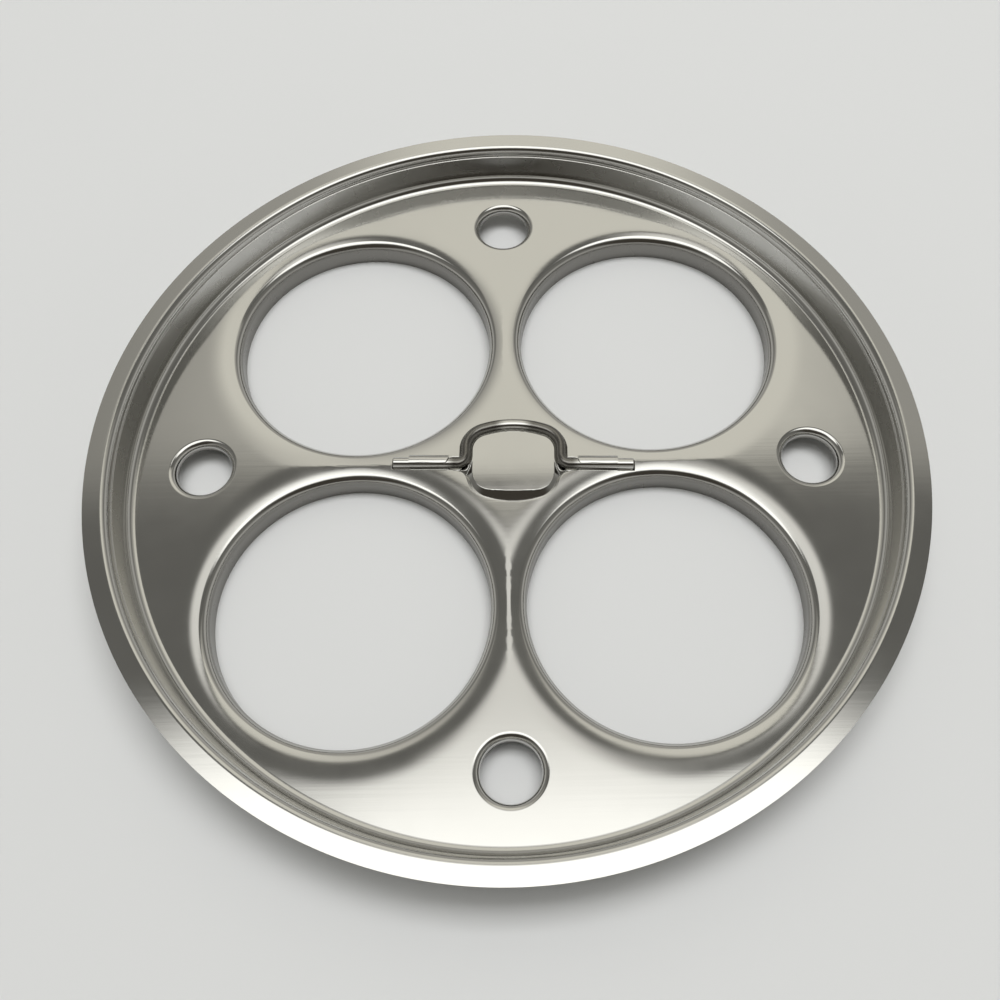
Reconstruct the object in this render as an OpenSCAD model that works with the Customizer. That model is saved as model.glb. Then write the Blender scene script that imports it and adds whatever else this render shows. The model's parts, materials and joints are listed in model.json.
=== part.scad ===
// Insert plate of an egg poacher pan: a pressed sheet with cup holes and a fold-down wire bail.
// Origin on the axis of the plate, on the surface that it stands on. +Z is up, +Y is the side the bail lies on.

/* [Sheet] */
// Thickness of the pressed sheet
sheet_t = 0.6; // [0.4:0.1:1]
// Radius of the outer edge of the rim
rim_r = 115; // [114:0.5:130]
// Width of the flat flange around the rim
rim_flange_w = 4.5; // [2:0.5:5.5]
// Radius of the bend from the wall out to the flange, on its visible side
rim_bend_r = 2.1; // [1.4:0.1:3]
// Height of the rim flange above the floor
rim_rise = 12.1; // [9:0.1:16]
// Radius of the fillet from the floor up to the wall, on its visible side
floor_fillet_r = 4.2; // [2:0.1:4.8]
// How far the wall steps out at the fine crease below the rim
crease_step = 0.3; // [0:0.1:0.5]
// Height of the crease above the floor
crease_rise = 9.2; // [6:0.1:9.4]

/* [Cup holes] */
// Number of cup holes
cup_count = 4; // [2:1:4]
// Bore radius of a cup hole's flange
cup_r = 37.7; // [30:0.1:37.8]
// Distance from the plate's axis to the axis of a cup hole
cup_pitch_r = 60.1; // [60:0.1:61.3]
// Radius of the bend over the edge of a cup hole, on its visible side
cup_bend_r = 4.6; // [2:0.1:4.6]
// Depth of a cup hole's flange below the floor, on which the plate stands
cup_depth = 8.2; // [7:0.1:14]

/* [Steam holes] */
// Number of steam holes
steam_count = 4; // [2:1:4]
// Bore radius of a steam hole's flange
steam_r = 7.8; // [4:0.1:9]
// Distance from the plate's axis to the axis of a steam hole
steam_pitch_r = 86.7; // [84:0.1:90]
// Radius of the bend over the edge of a steam hole, on its visible side
steam_bend_r = 2; // [1:0.1:2.6]
// Depth of a steam hole's flange below the floor
steam_depth = 2.9; // [2.3:0.1:5]

/* [Bail] */
// Radius of the bail's wire
wire_r = 1.6; // [1.2:0.1:1.8]
// Height of the wire's axis above the floor when the bail lies flat
wire_rise = 0.4; // [0:0.1:0.8]
// Distance from the middle of the bail to the centreline of its side
bow_half_w = 13.6; // [13:0.1:15]
// Distance from the hinge axis to the centreline of the bow's crown
bow_h = 12.8; // [12.3:0.1:13.4]
// Length of a side before its corner starts to turn, measured from the hinge axis
bow_side_h = 4.8; // [4:0.1:5.3]
// Radius of the corner between a side and the crown, at the centreline
bow_corner_r = 6.8; // [6:0.1:7.2]
// Radius of the tight bend from a leg to a side, at the centreline
leg_bend_r = 2.5; // [2.2:0.1:3]
// Distance from the middle of the bail to the end of a leg
leg_reach = 34.2; // [31:0.1:38]
// Chamfer on the end of a leg
leg_chamfer = 0.3; // [0.1:0.1:0.5]

/* [Handle pressing] */
// Sideways distance from the plate's axis to the middle of the bail
pressing_shift = 1.9; // [-2:0.1:2]
// Distance of the hinge axis behind the plate's axis, measured towards +Y
hinge_back = -0.6; // [-1:0.1:0.6]
// Turn of the bail and its groove about the vertical, in degrees
pressing_turn = -1.5; // [-3:0.1:3]
// Gap between the wire and the groove that it lies in
groove_gap = 0.2; // [0.1:0.05:0.4]
// Radius of the empty front half of the groove, about the level of the wire's axis
front_groove_r = 1.6; // [1.3:0.1:1.7]
// Distance from the middle of the bail to the centreline of the front groove's side
front_half_w = 12.6; // [12:0.1:13]
// Distance from the hinge axis to the centreline of the front groove's crown
front_h = 10.9; // [10.4:0.1:11.2]
// Length of the front groove's side before its corner starts to turn, measured from the hinge axis
front_side_h = 3.4; // [3.1:0.1:3.8]
// Radius of the front groove's corner, at the centreline
front_corner_r = 6.6; // [6:0.1:6.8]
// Radius of the bend from a leg's channel to the front groove, at the centreline
front_bend_r = 3; // [2.4:0.1:3.1]
// Radius of the wider channel that a leg runs in between the bow and its tab
leg_channel_r = 2.4; // [2.3:0.1:2.6]
// Height of the wider channel's axis above the wire's axis
leg_channel_lift = 0.5; // [0.4:0.05:0.55]
// Distance from the middle of the bail to the near end of the wider channel
leg_channel_start = 13.4; // [13.1:0.1:14]
// Running clearance between a leg and the tab crimped over it
tab_gap = 0.08; // [0.02:0.01:0.1]
// Length of a crimped tab along the leg
tab_l = 11.2; // [6:0.1:12]
// Distance from the middle of the bail to the near end of a tab
tab_start = 18.4; // [17:0.1:20]
// How far a tab reaches over the leg, past the leg's axis
tab_lap = 0.5; // [0.3:0.1:1]
// Gap between the end of a leg and the end of its channel
channel_end_gap = 0.6; // [0.2:0.1:2]

/* [Hidden] */
$fn = 96;
// Overlap that makes two stretches of the same metal one solid
weld = 0.01;
floor_z = cup_depth;
rim_z = floor_z + rim_rise;
crease_z = floor_z + crease_rise;
upper_wall_r = rim_r - rim_flange_w - rim_bend_r;
lower_wall_r = upper_wall_r - crease_step;
floor_flat_r = lower_wall_r - floor_fillet_r;
bail_axis_z = floor_z + wire_rise;
groove_r = wire_r + groove_gap;
tab_r = wire_r + tab_gap;
tab_end = tab_start + tab_l;
channel_end = leg_reach + channel_end_gap;
// Angle by which a crown laps over each corner
crown_lap = 0.2;
leg_start = bow_half_w + leg_bend_r;
// Shape of a bow: half width, height, side length, corner radius and leg bend radius
wire_bow = [bow_half_w, bow_h, bow_side_h, bow_corner_r, leg_bend_r];
front_bow = [front_half_w, front_h, front_side_h, front_corner_r, front_bend_r];

// A quarter of a ring in one quadrant, as the cut through a bend in the sheet
module bend_section(inner_r, outer_r, side_x, side_y) {
    intersection() {
        difference() {
            circle(outer_r);
            circle(inner_r);
        }
        translate([side_x > 0 ? 0 : -outer_r, side_y > 0 ? 0 : -outer_r])
            square(outer_r);
    }
}

// The plate's round form before any hole: floor, fillet, creased wall, bend and rim flange
module dish() {
    fillet_z = floor_z + floor_fillet_r;
    bend_z = rim_z - rim_bend_r;
    rotate_extrude() {
        translate([0, floor_z - sheet_t])
            square([floor_flat_r, sheet_t]);
        translate([floor_flat_r, fillet_z])
            bend_section(floor_fillet_r, floor_fillet_r + sheet_t, 1, -1);
        polygon([
            [lower_wall_r, fillet_z],
            [lower_wall_r, crease_z - crease_step],
            [upper_wall_r, crease_z],
            [upper_wall_r, bend_z],
            [upper_wall_r + sheet_t, bend_z],
            [upper_wall_r + sheet_t, crease_z - sheet_t],
            [lower_wall_r + sheet_t, crease_z - sheet_t - crease_step],
            [lower_wall_r + sheet_t, fillet_z]
        ]);
        translate([upper_wall_r + rim_bend_r, bend_z])
            bend_section(rim_bend_r - sheet_t, rim_bend_r, -1, 1);
        translate([rim_r - rim_flange_w, rim_z - sheet_t])
            square([rim_flange_w, sheet_t]);
    }
}

// The rounded edge and straight flange turned down around a hole
module hole_flange(bore_r, bend_r, depth) {
    rotate_extrude() {
        translate([bore_r + bend_r, floor_z - bend_r])
            bend_section(bend_r - sheet_t, bend_r, -1, 1);
        translate([bore_r, floor_z - depth])
            square([sheet_t, depth - bend_r]);
    }
}

// Places its children at equal angles around the plate
module around(count, pitch_r, first_angle) {
    for (i = [0 : count - 1])
        rotate(first_angle + i * 360 / count)
            translate([pitch_r, 0, 0])
                children();
}

module at_cup_holes() {
    around(cup_count, cup_pitch_r, 45) children();
}

module at_steam_holes() {
    around(steam_count, steam_pitch_r, 0) children();
}

// The frame of the bail: X along its hinge axis, Y towards the crown of the bow
module at_bail() {
    translate([pressing_shift, hinge_back, bail_axis_z])
        rotate(pressing_turn)
            children();
}

// A round bar of radius bar_r bent through an angle about Z at bend_r, starting at an angle
module bent_bar(bar_r, bend_r, start, turn) {
    rotate(start)
        rotate_extrude(angle = turn)
            translate([bend_r, 0])
                circle(bar_r);
}

// A straight round bar along X
module leg_bar(bar_r, from_x, to_x) {
    translate([from_x, 0, 0])
        rotate([0, 90, 0])
            cylinder(r = bar_r, h = to_x - from_x);
}

// The bow from the end of one tight bend to the other, at any bar radius
module bow(bar_r, shape) {
    half_w = shape[0];
    height = shape[1];
    side_h = shape[2];
    corner_r = shape[3];
    bend_r = shape[4];
    corner_x = half_w - corner_r;
    drop = height - side_h;
    // The crown is a wide arc that runs into the corner arcs without a kink
    crown_r = (corner_x ^ 2 + drop ^ 2 - corner_r ^ 2) / (2 * (drop - corner_r));
    crown_half_angle = asin(corner_x / (crown_r - corner_r));
    half_turn = crown_half_angle + crown_lap;
    translate([0, height - crown_r, 0])
        bent_bar(bar_r + weld, crown_r, 90 - half_turn, 2 * half_turn);
    for (side = [0, 1])
        mirror([side, 0, 0]) {
            translate([corner_x, side_h, 0])
                bent_bar(bar_r, corner_r, 0, 90 - crown_half_angle);
            translate([half_w, bend_r, 0])
                rotate([-90, 0, 0])
                    cylinder(r = bar_r, h = side_h - bend_r);
            translate([half_w + bend_r, bend_r, 0])
                bent_bar(bar_r, bend_r, 180, 90);
        }
}

// The groove around the island and the leg channels up to the tabs, grown by a wall
module groove_bore(wall) {
    far_r = groove_r + wall;
    front_r = front_groove_r + wall;
    bow(far_r, wire_bow);
    mirror([0, 1, 0])
        bow(front_r, front_bow);
    for (side = [0, 1])
        mirror([side, 0, 0]) {
            leg_bar(far_r, leg_start - weld, tab_start);
            translate([0, 0, leg_channel_lift])
                leg_bar(leg_channel_r + wall, leg_channel_start, tab_start);
        }
}

// The close bore that each leg lies in, from a start to an end
module leg_bore(wall, from_x, to_x) {
    for (side = [0, 1])
        mirror([side, 0, 0])
            leg_bar(tab_r + wall, from_x, to_x);
}

// The underside of the pressed groove, kept below the visible face of the floor. The sheet is cut through
// under the two tabs, which are folded up out of it.
module groove_shell() {
    intersection() {
        at_bail() {
            groove_bore(sheet_t);
            leg_bore(sheet_t, tab_end, channel_end + sheet_t);
        }
        translate([0, 0, floor_z / 2])
            cylinder(r = floor_flat_r, h = floor_z, center = true);
    }
}

// The tabs folded up out of the sheet along the far side of each leg and crimped over its top
module tabs() {
    reach = 4 * tab_r;
    at_bail()
        intersection() {
            leg_bore(sheet_t, tab_start, tab_end);
            translate([-2 * leg_reach, -tab_lap, -wire_rise - sheet_t])
                cube([4 * leg_reach, reach, reach]);
        }
}

module insert_plate() {
    color("gainsboro")
        difference() {
            union() {
                difference() {
                    dish();
                    at_cup_holes()
                        cylinder(r = cup_r + cup_bend_r, h = floor_z + 1);
                    at_steam_holes()
                        cylinder(r = steam_r + steam_bend_r, h = floor_z + 1);
                }
                at_cup_holes()
                    hole_flange(cup_r, cup_bend_r, cup_depth);
                at_steam_holes()
                    hole_flange(steam_r, steam_bend_r, steam_depth);
                groove_shell();
                tabs();
            }
            at_bail() {
                groove_bore(0);
                leg_bore(0, tab_start - weld, channel_end);
            }
        }
}

module bail_handle() {
    color("silver")
        at_bail() {
            bow(wire_r, wire_bow);
            for (side = [0, 1])
                mirror([side, 0, 0]) {
                    leg_bar(wire_r, leg_start, leg_reach - leg_chamfer);
                    translate([leg_reach - leg_chamfer, 0, 0])
                        rotate([0, 90, 0])
                            cylinder(r1 = wire_r, r2 = wire_r - leg_chamfer, h = leg_chamfer);
                }
        }
}

insert_plate();
bail_handle();
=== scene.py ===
import json
import math

import bpy
import numpy as np
from mathutils import Euler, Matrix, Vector
from mathutils.geometry import delaunay_2d_cdt


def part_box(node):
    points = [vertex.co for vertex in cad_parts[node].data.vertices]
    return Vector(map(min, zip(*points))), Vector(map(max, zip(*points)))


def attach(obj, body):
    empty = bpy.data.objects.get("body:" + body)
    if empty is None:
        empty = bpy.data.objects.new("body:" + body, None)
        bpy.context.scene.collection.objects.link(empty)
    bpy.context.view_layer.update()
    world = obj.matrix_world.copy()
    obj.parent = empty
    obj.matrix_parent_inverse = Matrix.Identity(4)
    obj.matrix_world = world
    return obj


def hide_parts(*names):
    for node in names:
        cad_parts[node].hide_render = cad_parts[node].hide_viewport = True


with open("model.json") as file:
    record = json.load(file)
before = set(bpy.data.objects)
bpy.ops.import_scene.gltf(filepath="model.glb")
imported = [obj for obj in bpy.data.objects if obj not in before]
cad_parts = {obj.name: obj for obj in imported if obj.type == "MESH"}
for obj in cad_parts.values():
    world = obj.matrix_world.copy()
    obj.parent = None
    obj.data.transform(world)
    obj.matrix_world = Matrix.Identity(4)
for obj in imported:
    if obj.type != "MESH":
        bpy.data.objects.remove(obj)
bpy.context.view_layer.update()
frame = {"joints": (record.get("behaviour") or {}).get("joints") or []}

bl_info = {
    "name": "Egg poacher insert plate",
    "version": (1, 0, 0),
    "blender": (4, 5, 0),
    "location": "View3D > Sidebar > Poacher plate",
    "description": "Builds a pressed stainless insert plate with four cup holes and its fold-down wire bail",
    "category": "Object",
}

PLATE_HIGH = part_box("insert_plate")[1]
BAIL_AXIS = Vector(frame["joints"][0]["axis"])
BAIL_PIVOT = Vector(frame["joints"][0]["pos_m"])
# The bail's own frame in the plan: along its legs, towards its crown, and its origin
ACROSS = np.array([BAIL_AXIS.x, BAIL_AXIS.y])
UP = np.array([-BAIL_AXIS.y, BAIL_AXIS.x])
ORIGIN = np.array([BAIL_PIVOT.x, BAIL_PIVOT.y])


def length(name, default, description):
    """A property that holds a size in metres."""
    return bpy.props.FloatProperty(
        name=name, description=description, default=default, min=0.0, unit="LENGTH", precision=5
    )


def hex_colour(name, default, description):
    """A property that holds an sRGB colour as six hex digits."""
    return bpy.props.StringProperty(name=name, description=description, default=default, maxlen=6)


class PlateSizes(bpy.types.PropertyGroup):
    rim_radius: length("Rim radius", PLATE_HIGH.x, "Outer edge of the flat rim")
    rim_width: length("Rim width", 0.0045, "Flat part of the rim")
    rim_bend: length("Rim bend", 0.0021, "Bend from the wall out to the rim")
    floor_height: length("Floor height", 0.0082, "Top of the floor above the table")
    floor_fillet: length("Floor fillet", 0.0026, "Round between the floor and the wall")
    wall_draft: bpy.props.FloatProperty(
        name="Wall draft",
        description="Outward lean of the wall below its crease",
        default=math.radians(9),
        subtype="ANGLE",
    )
    crease_rise: length("Crease height", 0.0092, "Fine crease in the wall above the floor")
    crease_step: length("Crease step", 0.0003, "How far the wall steps out at the crease")
    thickness: length("Sheet thickness", 0.0006, "Thickness of the stainless sheet")
    cup_radius: length("Cup hole radius", 0.0377, "Straight flange of a cup hole")
    cup_bend: length("Cup hole bend", 0.003, "Rounded edge of a cup hole")
    cup_shoulder: length("Cup hole shoulder", 0.0113, "Hole's flange to where the floor starts to slope to it")
    cup_pitch: length("Cup hole distance", 0.0601, "Plate axis to cup hole axis")
    steam_radius: length("Steam hole radius", 0.0078, "Straight flange of a steam hole")
    steam_bend: length("Steam hole bend", 0.002, "Rounded edge of a steam hole")
    steam_pitch: length("Steam hole distance", 0.0867, "Plate axis to steam hole axis")
    steam_depth: length("Steam hole depth", 0.0029, "Flange of a steam hole below the floor")


class BailSizes(bpy.types.PropertyGroup):
    wire_radius: length("Wire radius", 0.0016, "Half the thickness of the wire")
    half_width: length("Half width", 0.0136, "Middle of the bow to the centreline of its side")
    height: length("Bow height", 0.0128, "Hinge axis to the centreline of the crown")
    side: length("Side length", 0.0048, "Hinge axis to the start of the corner")
    corner: length("Corner radius", 0.0068, "Bend between side and crown")
    leg_bend: length("Leg bend", 0.0025, "Tight bend from leg to side")
    reach: length("Leg reach", 0.0342, "Middle of the bail to the end of a leg")


class GrooveSizes(bpy.types.PropertyGroup):
    bore: length("Groove radius", 0.0018, "Far half of the groove, about the wire's axis")
    edge: length("Groove edge radius", 0.00025, "Crisp rounded edge of the pressed groove")
    half_width: length("Front half width", 0.0133, "Middle to the outer edge of the front groove's side")
    height: length("Front height", 0.0121, "Hinge axis to the outer edge of the front groove's crown")
    side: length("Front side length", 0.0036, "Hinge axis to the start of the front groove's corner")
    corner: length("Front corner radius", 0.0075, "Outer edge of the front groove between side and crown")
    leg_bend: length("Front leg bend", 0.0034, "Edge from a leg's channel to the front groove")
    front_depth: length("Front depth", 0.0013, "Depth of the front groove next to the hinge")
    front_dive: length("Front dive", 0.0006, "How much deeper the front groove is at its crown")
    channel_bore: length("Channel radius", 0.0024, "Wider channel between the bow and a tab")
    channel_lift: length("Channel lift", 0.0005, "Axis of the wider channel above the wire's axis")
    channel_start: length("Channel start", 0.0134, "Middle of the bail to the near end of the wider channel")
    leg_bore: length("Tab bore", 0.00168, "Inside of a tab, about the wire's axis")
    tab_start: length("Tab start", 0.0184, "Middle of the bail to the near end of a tab")
    tab_length: length("Tab length", 0.0112, "Length of a crimped tab")
    tab_root: length("Tab root radius", 0.0007, "Bend between the floor and a tab")
    tab_lap: length("Tab lap", 0.0009, "How far a tab reaches past the wire's axis")


class IslandSizes(bpy.types.PropertyGroup):
    half_width: length("Island half width", 0.0116, "Middle of the raised island to its side")
    height: length("Island height", 0.00825, "Hinge axis to the island's near edge")
    side: length("Island side length", 0.0026, "Hinge axis to the start of the island's corner")
    corner: length("Island corner radius", 0.0054, "Near corners of the island")


class SteelColours(bpy.types.PropertyGroup):
    sheet: hex_colour("Sheet steel", "CBCAC6", "Satin stainless sheet")
    wire: hex_colour("Wire steel", "CFCECA", "Drawn stainless wire")
    # Painted shade: the darker wire colour away from the crown's middle and the legs, where the wire is painted
    # lighter as a highlight
    wire_painted_shade: hex_colour("Wire painted shade", "7E7C77", "Darker wire colour painted away from the highlights")
    table: hex_colour("Table", "DADBDB", "Pale table top")


def sizes(name):
    return getattr(bpy.context.scene, name)


def linear(code, alpha=1.0):
    """An sRGB hex colour as linear RGBA."""
    channels = [int(code[i : i + 2], 16) / 255 for i in (0, 2, 4)]
    return [c / 12.92 if c <= 0.04045 else ((c + 0.055) / 1.055) ** 2.4 for c in channels] + [alpha]


# Plan of the bail, as distances in the plane that it lies in


def segment_distance(p, a, b):
    """Distance of each point to the straight stretch from a to b."""
    a, b = np.asarray(a, float), np.asarray(b, float)
    along = np.clip(((p - a) @ (b - a)) / ((b - a) @ (b - a)), 0, 1)
    return np.linalg.norm(p - (a + along[:, None] * (b - a)), axis=1)


def arc_distance(p, centre, radius, start, end):
    """Distance of each point to the arc between two angles in radians."""
    centre = np.asarray(centre, float)
    q = p - centre
    middle = (start + end) / 2
    angle = np.arctan2(q[:, 1], q[:, 0])
    off = np.abs((angle - middle + math.pi) % (2 * math.pi) - math.pi)
    on_arc = np.abs(np.linalg.norm(q, axis=1) - radius)
    ends = [centre + radius * np.array([math.cos(t), math.sin(t)]) for t in (start, end)]
    to_ends = np.min([np.linalg.norm(p - e, axis=1) for e in ends], axis=0)
    return np.where(off <= (end - start) / 2, on_arc, to_ends)


def deeper(a, b, blend=0.0004):
    """The greater of two depths, with the ridge between them rounded where both are deep."""
    k = np.clip(np.minimum(a, b), 1e-7, blend)
    h = np.clip(0.5 + 0.5 * (a - b) / k, 0, 1)
    return b * (1 - h) + a * h + k * h * (1 - h)


def crown_of(bow):
    """Radius and half angle of the wide arc over the top of a bow."""
    across = bow.half_width - bow.corner
    drop = bow.height - bow.side
    radius = (across**2 + drop**2 - bow.corner**2) / (2 * (drop - bow.corner))
    return radius, math.asin(across / (radius - bow.corner))


def bow_distance(p, bow):
    """Distance to the centreline of a bow, wire or groove, for points in the bail's own frame."""
    q = np.stack([np.abs(p[:, 0]), p[:, 1]], axis=1)
    radius, half = crown_of(bow)
    parts = [
        arc_distance(q, (0, bow.height - radius), radius, math.pi / 2 - half, math.pi / 2 + half),
        arc_distance(q, (bow.half_width - bow.corner, bow.side), bow.corner, 0, math.pi / 2 - half),
        segment_distance(q, (bow.half_width, bow.leg_bend), (bow.half_width, bow.side)),
        arc_distance(q, (bow.half_width + bow.leg_bend, bow.leg_bend), bow.leg_bend, math.pi, 1.5 * math.pi),
    ]
    return np.min(parts, axis=0)


def bow_side(p, bow):
    """Signed distance to the closed outline of a bow above the hinge: less than nothing inside it."""
    q = np.stack([np.abs(p[:, 0]), p[:, 1]], axis=1)
    radius, half = crown_of(bow)
    middle = np.array([bow.half_width - bow.corner, bow.side])
    r = q - middle
    turn = np.arctan2(r[:, 1], r[:, 0])
    to_side = q[:, 0] - bow.half_width
    to_corner = np.linalg.norm(r, axis=1) - bow.corner
    to_crown = np.linalg.norm(q - np.array([0, bow.height - radius]), axis=1) - radius
    above = np.where(turn > math.pi / 2 - half, to_crown, to_corner)
    return np.where(q[:, 1] < bow.side, to_side, np.where(q[:, 0] < middle[0], to_crown, above))


def leg_distance(p, start, end):
    """Distance to the stretch of both legs between two distances from the middle."""
    q = np.stack([np.abs(p[:, 0]), p[:, 1]], axis=1)
    return segment_distance(q, (start, 0), (end, 0))


def bail_frame(p):
    """Points of the plan turned into the bail's own frame."""
    q = p - ORIGIN
    return np.stack([q @ ACROSS, q @ UP], axis=1)


def from_bail(points):
    """Plan points of the bail's own frame, turned back into the plan."""
    points = np.asarray(points)
    return points[:, :1] * ACROSS + points[:, 1:] * UP + ORIGIN


# The visible face of the sheet

# How far the front groove is carried on beside the legs, towards the viewer and out from the middle
FRONT_ARM = (0.0022, 0.0172)
# Rounding between the front groove's outline and those arms, as a share of the front leg bend
ARM_BLEND = 1.17
# How far past the hinge axis the front groove starts
FRONT_START = 0.001
# Steepness of the front groove's outer wall and of its slope down from the island
FRONT_WALL, FRONT_SLOPE = math.radians(72), math.radians(31)
# Rounding at the foot of both
FRONT_FOOT = 0.0002
# From the wire's centreline to the ridge between its groove and the empty front one
RIDGE = 0.00195
# How much lower the island lies 11 mm towards the viewer from where it starts to fall
ISLAND_FALL = 0.000115
ISLAND_FALL_START, ISLAND_FALL_RUN = 0.003, 0.011
# Angles of the bail, in degrees, at which its two tight bends are given room in the sheet
FOLD_ANGLES = (145, 130, 115, 100)
# Gap left around the bends, and the depth over which the edge of their room is rounded
ROOM_GAP = 0.00004
ROOM_EDGE = 0.0003
# How far a leg's groove runs on beyond the leg, and the steepness of its end
LEG_GAP = 0.0005
LEG_END = math.radians(70)


def channel_depth(s, bore, rise, edge):
    """Depth of a round channel at distance s from its centreline, with its edge rounded over."""
    far = math.sqrt((bore + edge) ** 2 - (rise + edge) ** 2)
    touch = far * bore / (bore + edge)
    bowl = np.sqrt(np.maximum(bore**2 - s**2, 0)) - rise
    rounded = edge - np.sqrt(np.maximum(edge**2 - (far - s) ** 2, 0))
    return np.where(s < touch, bowl, np.where(s < far, rounded, 0))


def front_depth(p, groove):
    """Depth of the empty front groove: a slope from island and wire's groove to a steep outer wall."""
    q = p * [1, -1]
    across = np.abs(q[:, 0])
    bow = bow_side(q, groove)
    channel = np.maximum(q[:, 1] - FRONT_ARM[0], across - FRONT_ARM[1])
    blend = ARM_BLEND * groove.leg_bend
    h = np.clip(0.5 + 0.5 * (channel - bow) / blend, 0, 1)
    inside = -(bow * h + channel * (1 - h) - blend * h * (1 - h))
    inside = np.minimum(inside, q[:, 1] + FRONT_START)
    bail = sizes("poacher_bail")
    from_leg = leg_distance(p, bail.half_width + bail.leg_bend, bail.reach)
    from_wire = np.minimum(bow_distance(p, bail), from_leg)
    from_island = np.minimum(bow_side(q, sizes("poacher_island")), from_wire - RIDGE)
    bottom = groove.front_depth + groove.front_dive * np.clip(q[:, 1] / groove.height, 0, 1) ** 2
    wall = edge_drop(inside, groove.edge, FRONT_WALL)
    slope = edge_drop(from_island, groove.edge, FRONT_SLOPE)
    return np.maximum(softer(softer(wall, slope, FRONT_FOOT), bottom, FRONT_FOOT), 0)


def edge_drop(s, radius, angle):
    """Depth below a face at distance s beyond its edge: an arc turned by the angle, then straight."""
    turned = radius * math.sin(angle)
    arc = radius - np.sqrt(np.maximum(radius**2 - np.clip(s, 0, turned) ** 2, 0))
    return arc + np.maximum(s - turned, 0) * math.tan(angle)


def softer(a, b, blend):
    """The lesser of two depths, with the hollow between them rounded where neither is shallow."""
    k = np.clip(np.minimum(a, b), 1e-7, blend)
    h = np.clip(0.5 + 0.5 * (b - a) / k, 0, 1)
    return b * (1 - h) + a * h - k * h * (1 - h)


def bend_room(p, bail, rise):
    """Depth that clears the wire's two bends where the bow folds over to the near side."""
    depth = np.zeros(len(p))
    # Only points within 5 mm and 3.5 mm of the middle of a folded bend can be reached
    aside = np.abs(np.abs(p[:, 0]) - 0.0145) < 0.005
    near = np.flatnonzero(aside & (np.abs(p[:, 1] + 0.0015) < 0.0035))
    q = np.stack([np.abs(p[near, 0]), p[near, 1]], axis=1)
    centre = bail.half_width + bail.leg_bend
    clear = bail.wire_radius + ROOM_GAP
    room = np.full(len(q), -rise)
    for fold in FOLD_ANGLES:
        for turn in np.linspace(0, math.pi / 2, 60):
            x = centre - bail.leg_bend * math.sin(turn)
            y = bail.leg_bend * (1 - math.cos(turn))
            away = (q[:, 0] - x) ** 2 + (q[:, 1] - y * math.cos(math.radians(fold))) ** 2
            lift = rise + y * math.sin(math.radians(fold))
            room = np.maximum(room, np.sqrt(np.maximum(clear**2 - away, 0)) - lift)
    step = np.clip(room / ROOM_EDGE, -1, 1)
    depth[near] = np.where(step < 1, ROOM_EDGE * (step + 1) ** 2 / 4, room)
    return depth


def groove_depth(p, plate, bail, groove):
    """Depth of the handle's pressing at points of the bail's own frame."""
    rise = BAIL_PIVOT.z - plate.floor_height
    tab_end = groove.tab_start + groove.tab_length
    half_channel = groove.channel_bore / 2
    far = channel_depth(bow_distance(p, bail), groove.bore, rise, groove.edge)
    front = front_depth(p, groove)
    leg = leg_distance(p, bail.half_width + bail.leg_bend, groove.tab_start)
    wide = leg_distance(p, groove.channel_start + half_channel, groove.tab_start - half_channel)
    close = leg_distance(p, tab_end, bail.reach)
    depth = deeper(deeper(far, front), bend_room(p, bail, rise))
    depth = deeper(depth, channel_depth(leg, groove.bore, rise, groove.edge))
    beside = channel_depth(wide, groove.channel_bore, rise + groove.channel_lift, groove.edge)
    depth = deeper(depth, np.where(p[:, 1] > 0, beside, 0))
    depth = np.where(np.abs(p[:, 0]) < groove.tab_start, depth, 0)
    beyond = channel_depth(close, groove.leg_bore, rise, groove.edge)
    end_wall = edge_drop(bail.reach + LEG_GAP - np.abs(p[:, 0]), groove.edge, LEG_END)
    beyond = np.minimum(beyond, np.maximum(end_wall, 0))
    return np.where(np.abs(p[:, 0]) > tab_end, beyond, depth)


def island_fall(p, bail, groove):
    """How far the island between the grooves falls away towards its near edge."""
    side = np.where(p[:, 1] > 0, bow_side(p, bail), bow_side(p * [1, -1], groove))
    along = np.clip((ISLAND_FALL_START - p[:, 1]) / ISLAND_FALL_RUN, 0, 1.2)
    return ISLAND_FALL * along**2 * np.clip(-side / 0.0005, 0, 1)


def slot_edges(plate, groove):
    """Near and far edge of the slot under a tab, across the leg."""
    rise = BAIL_PIVOT.z - plate.floor_height
    outer = groove.leg_bore + plate.thickness + groove.tab_root
    far = math.sqrt(outer**2 - (rise - groove.tab_root) ** 2)
    return -math.sqrt(groove.leg_bore**2 - rise**2), far


def in_slot(p, plate, groove):
    """Which points of the bail's own frame lie over a slot."""
    near, far = slot_edges(plate, groove)
    along = np.abs(p[:, 0]) - groove.tab_start
    return (along > 0) & (along < groove.tab_length) & (p[:, 1] > near) & (p[:, 1] < far)


def hole_centres(count, pitch, first):
    turns = [first + i * 2 * math.pi / count for i in range(count)]
    return [np.array([pitch * math.cos(t), pitch * math.sin(t)]) for t in turns]


def cup_centres(plate):
    return hole_centres(4, plate.cup_pitch, math.pi / 4)


def steam_centres(plate):
    return hole_centres(4, plate.steam_pitch, 0)


def cup_edge(plate, degrees):
    """Radius at which the bend of a cup hole has turned down by an angle."""
    return plate.cup_radius + plate.cup_bend * (1 - math.sin(math.radians(degrees)))


def cup_depth(r, plate):
    """Depth of a cup hole's shoulder and upper bend at a distance from the hole's axis."""
    slope = math.radians(SHOULDER_SLOPE)
    start = cup_edge(plate, SHOULDER_SLOPE)
    width = plate.cup_radius + plate.cup_shoulder - start
    t = np.clip((start + width - r) / width, 0, 1)
    shoulder = math.tan(slope) * width * t**3 / 3
    across = np.clip(plate.cup_radius + plate.cup_bend - r, 0, plate.cup_bend)
    bend = plate.cup_bend * math.cos(slope) - np.sqrt(plate.cup_bend**2 - across**2)
    return np.where(r < start, shoulder + bend, shoulder)


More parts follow.
